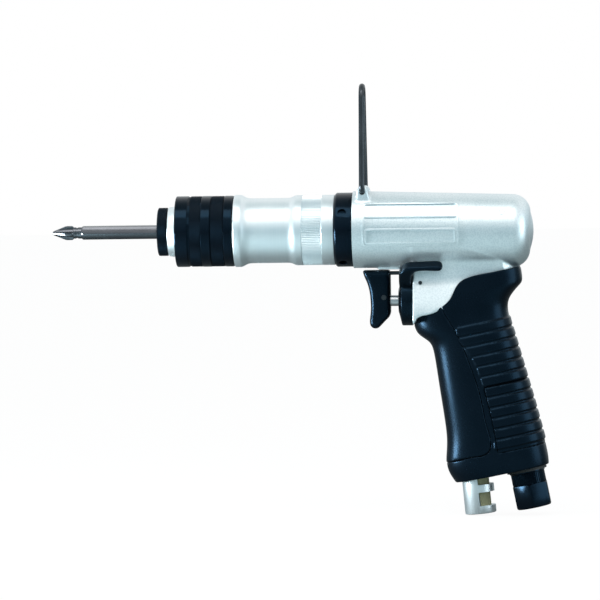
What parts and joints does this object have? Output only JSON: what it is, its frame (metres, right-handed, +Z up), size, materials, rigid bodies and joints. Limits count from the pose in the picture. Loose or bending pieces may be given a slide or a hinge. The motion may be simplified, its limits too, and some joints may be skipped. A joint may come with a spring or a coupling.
{
  "type": "pneumatic screwdriver",
  "caption": "Pistol-grip pneumatic screwdriver with a hex bit holder, torque sleeve, trigger, reverse lever, bottom air inlet and muffler, and a hanging bail.",
  "frame": {"origin": "middle of the bit holder's front face, on the spindle axis", "axes": "-X out of the bit holder to the bit's tip, +X to the rear of the barrel, +Z up to the bail, XZ is the middle plane of the tool"},
  "size_m": [0.2482, 0.0429, 0.2158],
  "materials": {
    "silver_casting": "satin, bead-blasted casting",
    "silver_turned": "satin, turned",
    "black_metal": "satin black oxide",
    "black_plastic": "satin black",
    "grip_rubber": "soft satin black",
    "grip_plastic": "satin black, finely grained",
    "inner_steel": "ground steel",
    "bit_steel": "dark phosphated steel",
    "dark_steel": "dark steel wire",
    "bronze": "turned",
    "seal_rubber": "matte",
    "felt": "olive sintered felt",
    "vane_laminate": "laminate"
  },
  "bodies": {
    "tool": {"motor_housing": "silver_casting", "clutch_case": "silver_turned", "nose": "silver_turned", "lock_ring": "black_metal", "grip_front": "grip_rubber", "grip_rear": "grip_plastic", "grip_panel": "grip_plastic", "motor_cylinder": "inner_steel", "front_end_plate": "inner_steel", "rear_end_plate": "inner_steel", "front_bearing": "inner_steel", "rear_bearing": "inner_steel", "ring_gear": "inner_steel", "spindle_bush": "bronze", "carrier_bearing": "inner_steel", "valve_bush": "bronze", "throttle_seat": "seal_rubber", "bush_pin": "dark_steel", "guide_pin": "dark_steel", "inlet_bush": "black_metal", "inlet_gasket": "seal_rubber", "inlet_strainer": "bronze", "muffler": "silver_turned", "muffler_sleeve": "felt", "throttle_spring": "inner_steel"},
    "spindle": {"bit_holder": "inner_steel", "lock_balls": "inner_steel", "collar_spring": "inner_steel", "snap_ring": "inner_steel", "bit": "bit_steel", "planet_carrier": "inner_steel", "planet_pins": "inner_steel", "clutch_balls": "inner_steel", "clutch_spring": "inner_steel"},
    "collar": {"release_collar": "black_metal"},
    "clutch_plate": {"clutch_plate": "inner_steel"},
    "torque_sleeve": {"torque_sleeve": "black_metal"},
    "spring_seat": {"spring_seat": "inner_steel"},
    "planet_1": {"planet_1": "inner_steel"},
    "planet_2": {"planet_2": "inner_steel"},
    "planet_3": {"planet_3": "inner_steel"},
    "rotor": {"rotor": "inner_steel", "vanes": "vane_laminate"},
    "bail": {"bail": "dark_steel"},
    "trigger": {"trigger": "black_plastic", "trigger_pin": "dark_steel", "throttle_rod": "inner_steel", "throttle_valve": "seal_rubber", "rod_seal": "seal_rubber"},
    "reverse": {"reverse_lever": "black_plastic", "reverse_valve": "bronze"}
  },
  "joints": [
    {"name": "rotor_spin", "type": "hinge", "parent": "tool", "child": "rotor", "pos_m": [0.134, 0, 0], "axis": [1, 0, 0], "continuous": true},
    {"name": "spindle_spin", "type": "hinge", "parent": "tool", "child": "spindle", "pos_m": [0, 0, 0], "axis": [1, 0, 0], "continuous": true},
    {"name": "planet_1_spin", "type": "hinge", "parent": "spindle", "child": "planet_1", "pos_m": [0.0772, -0.0075, 0], "axis": [1, 0, 0], "continuous": true},
    {"name": "planet_2_spin", "type": "hinge", "parent": "spindle", "child": "planet_2", "pos_m": [0.0772, 0.00375, -0.0065], "axis": [1, 0, 0], "continuous": true},
    {"name": "planet_3_spin", "type": "hinge", "parent": "spindle", "child": "planet_3", "pos_m": [0.0772, 0.00375, 0.0065], "axis": [1, 0, 0], "continuous": true},
    {"name": "collar_slide", "type": "slide", "parent": "spindle", "child": "collar", "axis": [-1, 0, 0], "range_m": [0, 0.003], "stiffness_N_per_m": 800, "springref_m": -0.004, "deforming": ["collar_spring"]},
    {"name": "clutch_slip_slide", "type": "slide", "parent": "spindle", "child": "clutch_plate", "axis": [-1, 0, 0], "range_m": [0, 0.0015], "stiffness_N_per_m": 20000, "springref_m": -0.002, "deforming": ["clutch_spring"]},
    {"name": "sleeve_turn", "type": "hinge", "parent": "tool", "child": "torque_sleeve", "pos_m": [0.024, 0, 0], "axis": [1, 0, 0], "range_deg": [-540, 540]},
    {"name": "seat_slide", "type": "slide", "parent": "tool", "child": "spring_seat", "axis": [1, 0, 0], "range_m": [-0.00225, 0.00225], "deforming": ["clutch_spring"]},
    {"name": "trigger_slide", "type": "slide", "parent": "tool", "child": "trigger", "axis": [1, 0, 0], "range_m": [0, 0.0035], "stiffness_N_per_m": 1200, "springref_m": -0.003, "deforming": ["throttle_spring"]},
    {"name": "reverse_turn", "type": "hinge", "parent": "tool", "child": "reverse", "pos_m": [0.1235, 0, -0.0357], "axis": [1, 0, 0], "range_deg": [0, 24]},
    {"name": "bail_swing", "type": "hinge", "parent": "tool", "child": "bail", "pos_m": [0.1029, 0, 0.019], "axis": [0, 1, 0], "range_deg": [-80, 80]}
  ],
  "couplings": [
    {"joint": "spindle_spin", "follows": "rotor_spin", "ratio": 0.2},
    {"joint": "planet_1_spin", "follows": "rotor_spin", "ratio": -0.53333},
    {"joint": "planet_2_spin", "follows": "rotor_spin", "ratio": -0.53333},
    {"joint": "planet_3_spin", "follows": "rotor_spin", "ratio": -0.53333},
    {"joint": "seat_slide", "follows": "sleeve_turn", "m_per_rad": 0.00023873}
  ]
}
